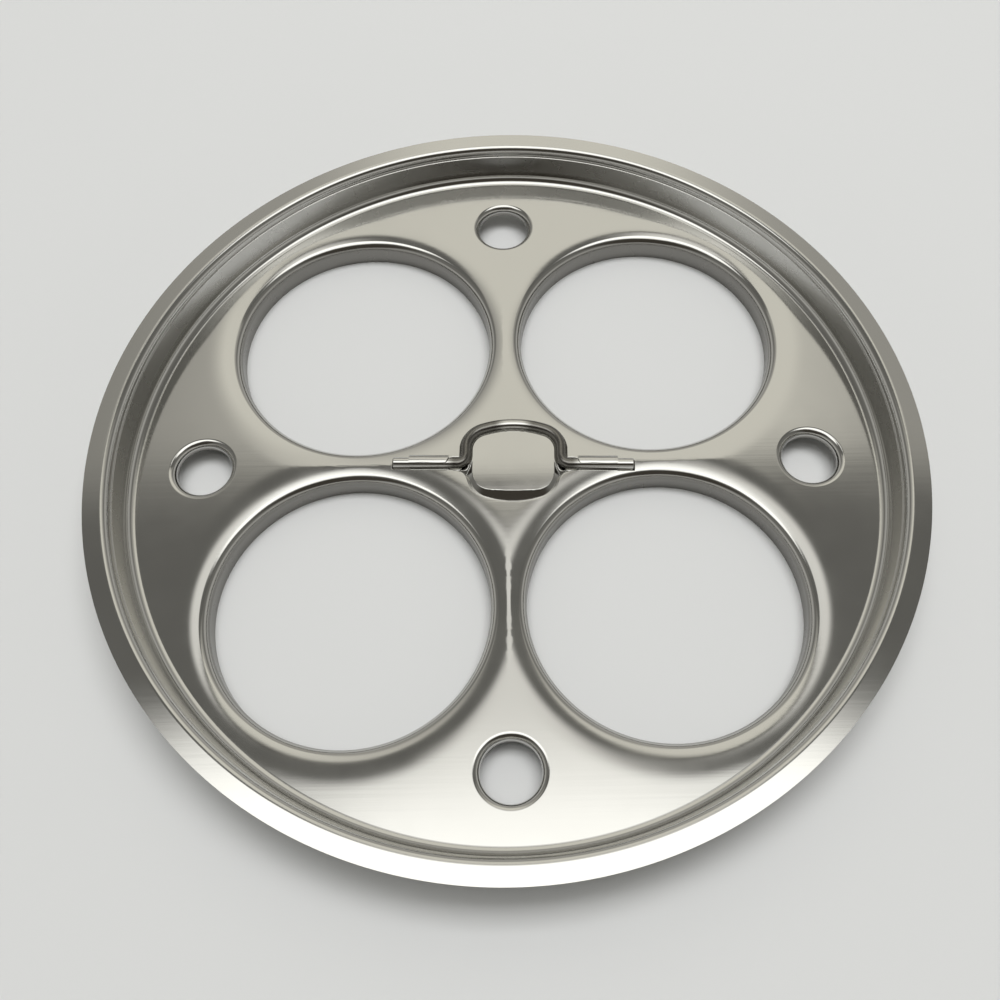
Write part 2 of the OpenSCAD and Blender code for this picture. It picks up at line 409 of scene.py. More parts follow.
def floor_face(p, plate, bail, groove):
    """Height of the visible face over floor, cup edges and the handle's pressing."""
    drop = np.zeros(len(p))
    for c in cup_centres(plate):
        drop = deeper(drop, cup_depth(np.linalg.norm(p - c, axis=1), plate))
    own = bail_frame(p)
    pressed = groove_depth(own, plate, bail, groove)
    return plate.floor_height - drop - pressed - island_fall(own, bail, groove)


def floor_normals(p, plate, bail, groove):
    """True normals of the visible face, from its height a little to either side of each point."""
    step = 0.00002
    slopes = []
    for way in (np.array([step, 0]), np.array([0, step])):
        ahead = floor_face(p + way, plate, bail, groove)
        slopes.append((ahead - floor_face(p - way, plate, bail, groove)) / (2 * step))
    n = np.stack([-slopes[0], -slopes[1], np.ones(len(p))], axis=1)
    return n / np.linalg.norm(n, axis=1)[:, None]


class Surface:
    """Points with their true normals, and the faces between them."""

    def __init__(self):
        self.points = []
        self.normals = []
        self.faces = []

    def add(self, points, normals):
        start = len(self.points)
        self.points.extend(map(tuple, points))
        self.normals.extend(map(tuple, normals))
        return start

    def revolve(self, centre, profile, normals, count):
        """A strip of faces for each step of a profile of (radius, height) about a vertical axis."""
        turns = np.arange(count) * 2 * math.pi / count
        cos, sin = np.cos(turns), np.sin(turns)
        rows = []
        for (r, z), (nr, nz) in zip(profile, normals):
            ring = np.stack([centre[0] + r * cos, centre[1] + r * sin, np.full(count, z)], axis=1)
            rows.append(self.add(ring, np.stack([nr * cos, nr * sin, np.full(count, nz)], axis=1)))
        for a, b in zip(rows, rows[1:]):
            for i in range(count):
                j = (i + 1) % count
                self.faces.append((a + i, a + j, b + j, b + i))


def smooth_mesh(name, surface, material):
    """A mesh object from a Surface: like points made one, faces turned to agree with the true normals."""
    points = np.array(surface.points)
    normals = np.array(surface.normals)
    key = np.round(np.hstack([points * 1e6, normals * 50])).astype(np.int64)
    _, first, index = np.unique(key, axis=0, return_index=True, return_inverse=True)
    index = index.reshape(-1)
    points, normals = points[first], normals[first]
    faces = []
    for face in surface.faces:
        corners = list(dict.fromkeys(int(index[i]) for i in face))
        if len(corners) < 3:
            continue
        a, b, c = points[corners[0]], points[corners[1]], points[corners[2]]
        agrees = np.cross(b - a, c - a) @ normals[corners].sum(axis=0) > 0
        faces.append(corners if agrees else corners[::-1])
    mesh = bpy.data.meshes.new(name)
    mesh.from_pydata(points.tolist(), [], faces)
    mesh.polygons.foreach_set("use_smooth", [True] * len(mesh.polygons))
    mesh.normals_split_custom_set_from_vertices(normals.tolist())
    mesh.materials.append(material)
    made = bpy.data.objects.new(name, mesh)
    bpy.context.scene.collection.objects.link(made)
    return made


def arc_profile(centre, radius, start, end, steps, outward=1):
    """Points and normals of an arc in a profile, from one angle in degrees to another."""
    angles = np.radians(np.linspace(start, end, steps + 1))
    facing = np.stack([np.cos(angles), np.sin(angles)], axis=1)
    return [tuple(np.array(centre) + radius * f) for f in facing], [tuple(outward * f) for f in facing]


def thick(profile, normals, thickness):
    """The hidden side of a sheet whose visible side is the profile."""
    p, n = np.array(profile), np.array(normals)
    return [tuple(v) for v in p - n * thickness], [tuple(v) for v in -n]


def add_formed_strip(surface, centre, profile, normals, plate, count):
    """Visible side, hidden side and raw last edge of a strip of sheet formed about an axis."""
    surface.revolve(centre, profile, normals, count)
    hidden, hidden_normals = thick(profile, normals, plate.thickness)
    surface.revolve(centre, hidden[::-1], hidden_normals[::-1], count)
    run = np.array(profile[-1]) - np.array(profile[-2])
    run = tuple(run / np.linalg.norm(run))
    surface.revolve(centre, [profile[-1], hidden[-1]], [run, run], count)


# Faces around the rim, a cup hole and a steam hole
RIM_STEPS = 720
CUP_STEPS = 288
STEAM_STEPS = 120
# The floor's mesh takes in the first of a cup hole's bend, with a ring of points at each of these degrees
CUP_FLOOR_ANGLES = (10.5, 13, 17, 21, 25)
# The rim slopes down outwards by this many degrees
RIM_DROOP = 4
# The floor slopes more and more towards a cup hole, as far as this, before the tight bend
SHOULDER_SLOPE = 10.5


def rim_profile(plate):
    """From the floor's edge up the wall and out over the rim, on the visible side."""
    upper_wall = plate.rim_radius - plate.rim_width - plate.rim_bend
    lower_wall = upper_wall - plate.crease_step
    crease = plate.floor_height + plate.crease_rise
    rim_z = PLATE_HIGH.z
    draft = plate.wall_draft
    reach = crease - plate.crease_step - plate.floor_height - plate.floor_fillet
    flat = lower_wall - reach * math.tan(draft) - plate.floor_fillet / math.cos(draft)
    middle = plate.floor_height + plate.floor_fillet
    profile, normals = arc_profile(
        (flat, middle), plate.floor_fillet, -90, -math.degrees(draft), 16, outward=-1
    )
    slope = math.sqrt(0.5)
    profile += [(lower_wall, crease - plate.crease_step), (lower_wall, crease - plate.crease_step)]
    normals += [(-math.cos(draft), math.sin(draft)), (-slope, slope)]
    profile += [(upper_wall, crease), (upper_wall, crease)]
    normals += [(-slope, slope), (-1, 0)]
    middle = (upper_wall + plate.rim_bend, rim_z - plate.rim_bend)
    bend, bend_normals = arc_profile(middle, plate.rim_bend, 180, 90, 14)
    over, over_normals = arc_profile(middle, plate.rim_bend, 90, 90 - RIM_DROOP, 1)
    bend, bend_normals = bend + over[1:], bend_normals + over_normals[1:]
    facing = bend_normals[-1]
    fall = (plate.rim_radius - bend[-1][0]) * facing[0] / facing[1]
    profile += bend + [(plate.rim_radius, bend[-1][1] - fall)]
    normals += bend_normals + [facing]
    return profile, normals, flat


def hole_profile(radius, bend, depth, plate, first_angle=0, steps=14, sunk=0.0):
    """Over the rounded edge of a hole and down its flange, on the visible side."""
    centre = (radius + bend, plate.floor_height - bend - sunk)
    profile, normals = arc_profile(centre, bend, 90 + first_angle, 180, steps)
    profile.append((radius, plate.floor_height - depth))
    normals.append((-1, 0))
    return profile, normals


def ring(centre, radius, count):
    turns = np.arange(count) * 2 * math.pi / count
    return np.stack([centre[0] + radius * np.cos(turns), centre[1] + radius * np.sin(turns)], axis=1)


def slot_loops(plate, groove):
    """Outlines of the two slots under the tabs, in the bail's own frame."""
    near, far = slot_edges(plate, groove)
    start, end = groove.tab_start, groove.tab_start + groove.tab_length
    xs, ys = np.linspace(start, end, 57), np.linspace(near, far, 21)
    loops = []
    for side in (-1, 1):
        loop = [(side * x, near) for x in xs] + [(side * end, y) for y in ys[1:]]
        loop += [(side * x, far) for x in xs[::-1][1:]] + [(side * start, y) for y in ys[::-1][1:-1]]
        loops.append(np.array(loop))
    return loops


def handle_grid(plate, bail, groove):
    """Close points over the handle's pressing, kept out of the cup holes and the slots."""
    step = 0.0003
    margin = 0.003
    half_x = bail.reach + margin
    half_y = bail.height + margin
    xs = np.arange(-half_x, half_x, step)
    ys = np.arange(-half_y, half_y, step)
    grid = np.stack(np.meshgrid(xs, ys), axis=-1).reshape(-1, 2)
    # A point is wanted where the floor is pressed in, or is about to be
    wanted = np.zeros(len(grid), bool)
    for shift in ((0, 0), (0.0004, 0), (-0.0004, 0), (0, 0.0004), (0, -0.0004)):
        wanted |= groove_depth(grid + np.array(shift), plate, bail, groove) > 0
    grid = grid[wanted]
    # Closer points are added where the pressing turns sharply
    middle = groove_depth(grid, plate, bail, groove)
    sharp = np.zeros(len(grid), bool)
    for way in ((0.0002, 0), (0, 0.0002), (0.00014, 0.00014), (0.00014, -0.00014)):
        ahead = groove_depth(grid + np.array(way), plate, bail, groove)
        behind = groove_depth(grid - np.array(way), plate, bail, groove)
        sharp |= np.abs(ahead + behind - 2 * middle) > 0.00003
    around = [(i, j) for i in (-1, 0, 1) for j in (-1, 0, 1) if (i, j) != (0, 0)]
    grid = np.concatenate([grid, *(grid[sharp] + np.array(way) * step / 3 for way in around)])
    near, far = slot_edges(plate, groove)
    along = np.abs(grid[:, 0]) - groove.tab_start
    half = step / 4
    over = (along > -half) & (along < groove.tab_length + half)
    over &= (grid[:, 1] > near - half) & (grid[:, 1] < far + half)
    plan = from_bail(grid[~over])
    clear = cup_edge(plate, CUP_FLOOR_ANGLES[-1]) + 0.0002
    for c in cup_centres(plate):
        plan = plan[np.linalg.norm(plan - c, axis=1) > clear]
    return plan


def add_floor(surface, plate, bail, groove, flat_radius):
    """The floor with the upper part of the cup edges and the handle's pressing, both sides of the sheet."""
    loops = [ring((0, 0), flat_radius, RIM_STEPS)]
    for c in steam_centres(plate):
        loops.append(ring(c, plate.steam_radius + plate.steam_bend, STEAM_STEPS))
    edge = cup_edge(plate, CUP_FLOOR_ANGLES[-1])
    for c in cup_centres(plate):
        loops.append(ring(c, edge, CUP_STEPS))
    slots = [from_bail(loop) for loop in slot_loops(plate, groove)]
    loops += slots
    loose = [handle_grid(plate, bail, groove)]
    for c in cup_centres(plate):
        for out in np.linspace(plate.cup_bend, plate.cup_shoulder, 9):
            loose.append(ring(c, plate.cup_radius + out, CUP_STEPS // 2))
        for angle in CUP_FLOOR_ANGLES[:-1]:
            loose.append(ring(c, cup_edge(plate, angle), CUP_STEPS))
    loose = np.concatenate(loose)
    # Loose points keep this far from the outlines
    apart = 0.0001
    on_floor = np.linalg.norm(loose, axis=1) < flat_radius - apart
    loose = loose[~in_slot(bail_frame(loose), plate, groove) & on_floor]
    for c in cup_centres(plate):
        loose = loose[np.linalg.norm(loose - c, axis=1) > edge + apart]
    points, edges = [], []
    for loop in loops:
        start = len(points)
        points.extend(loop.tolist())
        edges.extend((start + i, start + (i + 1) % len(loop)) for i in range(len(loop)))
    points.extend(loose.tolist())
    found = delaunay_2d_cdt([Vector(p) * 100 for p in points], edges, [], 0, 1e-7)
    plan = np.array([tuple(v) for v in found[0]]) / 100
    middles = np.array([plan[list(f)].mean(axis=0) for f in found[2]])
    keep = np.linalg.norm(middles, axis=1) < flat_radius
    for c in steam_centres(plate):
        keep &= np.linalg.norm(middles - c, axis=1) > (plate.steam_radius + plate.steam_bend) * 0.9995
    for c in cup_centres(plate):
        keep &= np.linalg.norm(middles - c, axis=1) > edge * 0.9999
    keep &= ~in_slot(bail_frame(middles), plate, groove)
    faces = [f for f, k in zip(found[2], keep) if k]
    z = floor_face(plan, plate, bail, groove)
    n = floor_normals(plan, plate, bail, groove)
    top = np.hstack([plan, z[:, None]])
    start = surface.add(top, n)
    surface.faces.extend(tuple(start + i for i in f) for f in faces)
    start = surface.add(top - n * plate.thickness, -n)
    surface.faces.extend(tuple(start + i for i in reversed(f)) for f in faces)
    for slot in slots:
        add_raw_edge(surface, slot, plate, bail, groove)


def add_raw_edge(surface, loop, plate, bail, groove):
    """The cut edge of the sheet around a slot."""
    n = floor_normals(loop, plate, bail, groove)
    top = np.hstack([loop, floor_face(loop, plate, bail, groove)[:, None]])
    inward = loop.mean(axis=0) - loop
    inward = np.hstack([inward / np.linalg.norm(inward, axis=1)[:, None], np.zeros((len(loop), 1))])
    a = surface.add(top, inward)
    b = surface.add(top - n * plate.thickness, inward)
    for i in range(len(loop)):
        j = (i + 1) % len(loop)
        surface.faces.append((a + i, a + j, b + j, b + i))


def build_plate(material):
    plate, bail, groove = sizes("poacher_plate"), sizes("poacher_bail"), sizes("poacher_groove")
    surface = Surface()
    profile, normals, flat = rim_profile(plate)
    add_formed_strip(surface, (0, 0), profile, normals, plate, RIM_STEPS)
    add_floor(surface, plate, bail, groove, flat)
    slope = math.radians(SHOULDER_SLOPE)
    # The shoulder brings the start of a cup hole's bend down by this much
    fallen = float(cup_depth(np.array([cup_edge(plate, SHOULDER_SLOPE) + 1e-9]), plate)[0])
    sunk = fallen - plate.cup_bend * (1 - math.cos(slope))
    last = CUP_FLOOR_ANGLES[-1]
    for c in cup_centres(plate):
        edge = hole_profile(plate.cup_radius, plate.cup_bend, plate.floor_height, plate, last, sunk=sunk)
        add_formed_strip(surface, c, *edge, plate, CUP_STEPS)
    for c in steam_centres(plate):
        edge = hole_profile(plate.steam_radius, plate.steam_bend, plate.steam_depth, plate, steps=10)
        add_formed_strip(surface, c, *edge, plate, STEAM_STEPS)
    return smooth_mesh("insert_sheet", surface, material)


def tab_section(plate, groove, lap):
    """Outer side of a tab across the leg, from its root on the far side to its free edge, with normals."""
    radius = groove.leg_bore + plate.thickness
    axis = BAIL_PIVOT.z
    root = groove.tab_root
    lift = plate.floor_height + root - axis
    across = math.sqrt((radius + root) ** 2 - lift**2)
    lean = math.degrees(math.asin(lift / (radius + root)))
    foot, foot_n = arc_profile((across, plate.floor_height + root), root, -90, -180 + lean, 6, outward=-1)
    free = 90 + math.degrees(math.asin(lap / radius))
    over, over_n = arc_profile((0, axis), radius, lean, free, 26)
    return np.array(foot + over[1:]), np.array(foot_n + over_n[1:])


def frame_point(x, y, z):
    """A point of the bail's own frame, in the row frame."""
    across = Vector((BAIL_AXIS.x, BAIL_AXIS.y, 0))
    up = Vector((-BAIL_AXIS.y, BAIL_AXIS.x, 0))
    return Vector((BAIL_PIVOT.x, BAIL_PIVOT.y, 0)) + across * x + up * y + Vector((0, 0, z))


def build_tab(name, side, material):
    """A tab of the sheet crimped over one leg, side -1 on the left and 1 on the right."""
    plate, groove = sizes("poacher_plate"), sizes("poacher_groove")
    surface = Surface()
    steps = 48
    rows = []
    for i in range(steps + 1):
        t = i / steps
        x = side * (groove.tab_start + t * groove.tab_length)
        # The free edge waves by 0.1 mm, and is drawn back by 1.6 mm at the end next to the bow
        lap = groove.tab_lap + 0.0001 * math.sin(9 * t + side) - 0.0016 * max(0, 1 - t / 0.09) ** 2
        section, normals = tab_section(plate, groove, lap)
        crown = np.clip((section[:, 1] - plate.floor_height) / (2 * groove.leg_bore), 0, 1)
        # The crimping leaves the crown uneven by 0.05 mm
        dent = -0.00005 * math.sin(10 * t + 2 * side) * math.sin(math.pi * t) * crown
        outer = section + normals * dent[:, None]
        inner = section - normals * plate.thickness
        points = [frame_point(x, y, z) for y, z in outer]
        hidden = [frame_point(x, y, z) for y, z in inner]
        facing = [frame_point(0, y, z) - frame_point(0, 0, 0) for y, z in normals]
        outside = surface.add(points, facing)
        inside = surface.add(hidden, [-f for f in facing])
        rows.append((outside, inside, points, hidden, normals))
    count = len(section)
    for (a, c, *_), (b, d, *_) in zip(rows, rows[1:]):
        for j in range(count - 1):
            surface.faces.append((a + j, b + j, b + j + 1, a + j + 1))
            surface.faces.append((c + j + 1, d + j + 1, d + j, c + j))
    for row, facing in ((rows[0], -side), (rows[-1], side)):
        n = [BAIL_AXIS * facing] * count
        a, b = surface.add(row[2], n), surface.add(row[3], n)
        surface.faces.extend((a + j, b + j, b + j + 1, a + j + 1) for j in range(count - 1))
    edge = []
    for _, _, points, hidden, normals in rows:
        ny, nz = normals[-1]
        facing = frame_point(0, -nz, ny) - frame_point(0, 0, 0)
        edge.append(surface.add([points[-1], hidden[-1]], [facing, facing]))
    surface.faces.extend((a, b, b + 1, a + 1) for a, b in zip(edge, edge[1:]))
    return smooth_mesh(name, surface, material)


def bail_path(bail):
    """Centreline of the wire in its own frame, from the left leg's end to the right one's, with directions."""
    radius, half = crown_of(bail)
    leg_start = bail.half_width + bail.leg_bend

    def arc(centre, r, start, end, steps):
        angles = np.linspace(start, end, steps + 1)
        sense = 1 if end > start else -1
        at = [(centre[0] + r * math.cos(t), centre[1] + r * math.sin(t)) for t in angles]
        return [(p, (-sense * math.sin(t), sense * math.cos(t))) for p, t in zip(at, angles)]

    right = arc((0, bail.height - radius), radius, math.pi / 2, math.pi / 2 - half, 24)
    right += arc((bail.half_width - bail.corner, bail.side), bail.corner, math.pi / 2 - half, 0, 20)[1:]
    right += arc((leg_start, bail.leg_bend), bail.leg_bend, math.pi, 1.5 * math.pi, 20)
    right += [((x, 0), (1, 0)) for x in np.linspace(leg_start, bail.reach, 12)[1:]]
    left = [((-x, y), (dx, -dy)) for (x, y), (dx, dy) in reversed(right[1:])]
    return left + right


def build_bail(material):
    bail = sizes("poacher_bail")
    surface = Surface()
    count = 40
    turns = np.arange(count) * 2 * math.pi / count
    chamfer = 0.00025
    path = bail_path(bail)
    stations = [(path[0][0], path[0][1], r, -1) for r in (0.0, bail.wire_radius - chamfer)]
    stations += [(p, d, bail.wire_radius, 0) for p, d in path]
    stations[2] = ((path[0][0][0] + chamfer, 0), path[0][1], bail.wire_radius, 0)
    stations[-1] = ((path[-1][0][0] - chamfer, 0), path[-1][1], bail.wire_radius, 0)
    stations += [(path[-1][0], path[-1][1], r, 1) for r in (bail.wire_radius - chamfer, 0.0)]
    rows = []
    for (x, y), (dx, dy), r, cap in stations:
        side = np.array([-dy, dx, 0.0])
        around = np.outer(np.cos(turns), side) + np.outer(np.sin(turns), [0, 0, 1.0])
        points = [frame_point(x + r * a[0], y + r * a[1], BAIL_PIVOT.z + r * a[2]) for a in around]
        along = np.array([dx, dy, 0.0]) * cap
        facing = [frame_point(*(along if cap else a)) - frame_point(0, 0, 0) for a in around]
        rows.append(surface.add(points, facing))
    for a, b in zip(rows, rows[1:]):
        for i in range(count):
            j = (i + 1) % count
            surface.faces.append((a + i, b + i, b + j, a + j))
    return smooth_mesh("bail_wire", surface, material)


# Finishes

# Heights above the table: the cup flanges are rougher and darkened with painted shade below the first, and the
# wall is rougher above the second
FLANGE_TOP = 0.0068
WALL_FOOT = 0.0105
# The wire carries a painted highlight, a lighter colour and a smoother finish, up to the first distance from
# the middle of its crown, and painted shade, a darker colour and a rougher finish, from the second
CROWN_ZONE = (0.0025, 0.006)
# A leg carries painted shade, a darker colour and a rougher finish, up to the first distance from the middle of
# the bail, and the painted highlight from the second
LEG_ZONE = (0.0165, 0.0195)


def add_node(tree, kind, inputs=None, **settings):
    """Adds a node, sets its properties and inputs, and links an input whose value is a socket."""
    node = tree.nodes.new(kind)
    for key, value in settings.items():
        setattr(node, key, value)
    for key, value in (inputs or {}).items():
        if isinstance(value, bpy.types.NodeSocket):
            tree.links.new(value, node.inputs[key])
        else:
            node.inputs[key].default_value = value
    return node


def new_material(name):
    material = bpy.data.materials.new(name)
    material.use_nodes = True
    material.node_tree.nodes.clear()
    return material, material.node_tree


def stainless_sheet(name, colour):
    """Cold-rolled 18/8 stainless sheet, pressed and lightly used: a soft mirror, rougher where it was drawn,
    with painted shade darkening the cup flanges.
    """
    material, tree = new_material(name)
    where = add_node(tree, "ShaderNodeTexCoord").outputs["Object"]
    # Rolling lines run along X, about 0.15 mm apart: drawn at about 1 mm so that they show
    lines = add_node(tree, "ShaderNodeMapping", {"Vector": where, "Scale": (12, 900, 12)})
    rolled = add_node(
        tree, "ShaderNodeTexNoise", {"Vector": lines.outputs[0], "Scale": 1.0, "Detail": 3.0, "Roughness": 0.6}
    )
    # Handling and washing leave soft cloudy patches some 15 mm across
    cloud = add_node(tree, "ShaderNodeTexNoise", {"Vector": where, "Scale": 65.0, "Detail": 4.0})
    rough = add_node(
        tree,
        "ShaderNodeMapRange",
        {"Value": cloud.outputs[0], "From Min": 0.3, "From Max": 0.7, "To Min": 0.08, "To Max": 0.13},
    )
    # The cup flanges below the floor and the wall above it were drawn out, which leaves them rougher; the
    # flanges' colour also carries painted shade
    height = add_node(tree, "ShaderNodeSeparateXYZ", {"Vector": where}).outputs["Z"]
    flange = add_node(
        tree, "ShaderNodeMapRange", {"Value": height, "From Min": FLANGE_TOP, "From Max": FLANGE_TOP - 0.001}
    )
    wall = add_node(
        tree, "ShaderNodeMapRange", {"Value": height, "From Min": WALL_FOOT, "From Max": WALL_FOOT + 0.0015}
    )
    top = PLATE_HIGH.z
    rim = add_node(
        tree, "ShaderNodeMapRange", {"Value": height, "From Min": top - 0.0005, "From Max": top - 0.0015}
    )
    wall = add_node(tree, "ShaderNodeMath", {0: wall.outputs[0], 1: rim.outputs[0]}, operation="MULTIPLY")
    drawn = add_node(tree, "ShaderNodeMath", {0: wall.outputs[0], 1: flange.outputs[0]}, operation="ADD")
    rough = add_node(
        tree, "ShaderNodeMath", {0: drawn.outputs[0], 1: 0.17, 2: rough.outputs[0]}, operation="MULTIPLY_ADD"
    )
    # Painted shade: the cup flanges' colour is darkened nine tenths of the way to 7F7D79
    share = add_node(tree, "ShaderNodeMath", {0: flange.outputs[0], 1: 0.9}, operation="MULTIPLY")
    tone = add_node(
        tree,
        "ShaderNodeMix",
        {"Factor": share.outputs[0], "A": linear(colour), "B": linear("7F7D79")},
        data_type="RGBA",
    )
    kept = add_node(tree, "ShaderNodeMapRange", {"Value": drawn.outputs[0], "To Min": 0.016, "To Max": 0.0})
    relief = add_node(
        tree,
        "ShaderNodeBump",
        {"Height": rolled.outputs[0], "Strength": kept.outputs[0], "Distance": 0.0002},
    )
    steel = add_node(
        tree,
        "ShaderNodeBsdfPrincipled",
        {
            "Base Color": tone.outputs["Result"],
            "Metallic": 1.0,
            "Roughness": rough.outputs[0],
            "Normal": relief.outputs[0],
        },
    )
    add_node(tree, "ShaderNodeOutputMaterial", {"Surface": steel.outputs[0]})
    return material


def drawn_wire(name, colour, shade_colour):
    """Drawn stainless wire with a painted highlight, lighter in colour and smoother at the middle of the crown
    and along the legs, and painted shade, darker in colour and rougher, on the rest of the bow.
    """
    material, tree = new_material(name)
    where = add_node(tree, "ShaderNodeTexCoord").outputs["Object"]
    speckle = add_node(tree, "ShaderNodeTexNoise", {"Vector": where, "Scale": 900.0, "Detail": 2.0})
    bright = None
    bail = sizes("poacher_bail")
    leg_zone = (bail.reach - LEG_ZONE[1], bail.reach - LEG_ZONE[0])
    for x, y, (near, far) in (
        (0, bail.height, CROWN_ZONE),
        (-bail.reach, 0, leg_zone),
        (bail.reach, 0, leg_zone),
    ):
        reach = add_node(
            tree, "ShaderNodeVectorMath", {0: where, 1: frame_point(x, y, BAIL_PIVOT.z)}, operation="DISTANCE"
        )
        zone = add_node(
            tree,
            "ShaderNodeMapRange",
            {"Value": reach.outputs["Value"], "From Min": far, "From Max": near},
            interpolation_type="SMOOTHSTEP",
        ).outputs[0]
        if bright is not None:
            zone = add_node(tree, "ShaderNodeMath", {0: bright, 1: zone}, operation="MAXIMUM").outputs[0]
        bright = zone
    zone_roughness = add_node(tree, "ShaderNodeMapRange", {"Value": bright, "To Min": 0.2, "To Max": 0.09})
    rough = add_node(
        tree, "ShaderNodeMath", {0: speckle.outputs[0], 1: 0.06, 2: zone_roughness.outputs[0]}, operation="MULTIPLY_ADD"
    )
    # Painted highlight and shade: the wire is coloured lighter in the zones and darker elsewhere
    tone = add_node(
        tree, "ShaderNodeMix", {"Factor": bright, "A": linear(shade_colour), "B": linear(colour)}, data_type="RGBA"
    )
    steel = add_node(
        tree,
        "ShaderNodeBsdfPrincipled",
        {"Base Color": tone.outputs["Result"], "Metallic": 1.0, "Roughness": rough.outputs[0]},
    )
    add_node(tree, "ShaderNodeOutputMaterial", {"Surface": steel.outputs[0]})
    return material


def table_top(name, colour):
    """Matt white laminate."""
    material, tree = new_material(name)
    board = add_node(tree, "ShaderNodeBsdfPrincipled", {"Base Color": linear(colour), "Roughness": 0.55})
    add_node(tree, "ShaderNodeOutputMaterial", {"Surface": board.outputs[0]})
    return material


# Operators


class OBJECT_OT_poacher_plate(bpy.types.Operator):
    """Builds the pressed sheet of the insert plate"""

    bl_idname = "object.poacher_plate"
    bl_label = "Insert plate"

    def execute(self, context):
        steel = stainless_sheet("Satin stainless sheet", context.scene.poacher_colours.sheet)
        sheet = build_plate(steel)
        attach(sheet, "plate")
        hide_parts("insert_plate")
        for name, side in (("tab_left", -1), ("tab_right", 1)):
            tab = build_tab(name, side, steel)
            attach(tab, "plate")
        return {"FINISHED"}


class OBJECT_OT_poacher_bail(bpy.types.Operator):
    """Bends the wire bail that lifts the plate"""

    bl_idname = "object.poacher_bail"
    bl_label = "Wire bail"

    def execute(self, context):
        colours = context.scene.poacher_colours
        bail = build_bail(drawn_wire("Drawn stainless wire", colours.wire, colours.wire_painted_shade))
        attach(bail, "bail")
        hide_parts("bail_handle")
        return {"FINISHED"}


class OBJECT_OT_poacher_stage(bpy.types.Operator):
    """Sets the table, the studio light and the camera"""

    bl_idname = "object.poacher_stage"
    bl_label = "Stage"

    def execute(self, context):
        build_table(context)
        build_light(context)
        build_camera(context)
        return {"FINISHED"}


def build_table(context):
    mesh = bpy.data.meshes.new("table")
    half = 8.0
    corners = [(-half, -half, 0), (half, -half, 0), (half, half, 0), (-half, half, 0)]
    mesh.from_pydata(corners, [], [(0, 1, 2, 3)])
    mesh.materials.append(table_top("White laminate", context.scene.poacher_colours.table))
    table = bpy.data.objects.new("table", mesh)
    context.scene.collection.objects.link(table)


# What the steel mirrors, as soft patches. A direction is taken as its slopes across and away from the viewer.
# Each patch has its middle and half width across and how soft those sides are, its near and far limit and how
# soft those are, its colour and its brightness. Later patches are painted over earlier ones.
ROOM = (
    ("gap", 0.0, 0.85, 0.4, -0.6, 0.56, 0.3, "AAA9A4", 0.4),
    ("viewer", 0.0, 0.85, 0.5, -2.7, -0.5, 0.4, "46423C", 1.0),
    ("far room", 0.05, 0.78, 0.5, 0.54, 9.0, 0.12, "CBC9C2", 0.75),
    ("far wall", 0.05, 0.33, 0.34, 0.55, 1.6, 0.06, "D1CFC6", 1.4),
    ("far middle", 0.03, 0.14, 0.12, 0.49, 0.8, 0.04, "D1CFC6", 1.4),
    ("ceiling", 0.01, 0.12, 0.1, -0.43, 0.455, 0.06, "DDDCD8", 1.4),
    ("softbox sides", 0.03, 0.25, 0.2, -0.34, 0.22, 0.12, "FFFFFC", 1.5),
    ("softbox", -0.02, 0.5, 0.24, -0.22, 0.15, 0.16, "FFFFFC", 1.9),
    ("batten", 0.0, 0.16, 0.03, 0.462, 0.488, 0.012, "3A3834", 1.0),
)
# The pale walls of the room fade in as a direction sinks from the first of these heights to the second
PALE_BELOW = (0.55, 0.3)


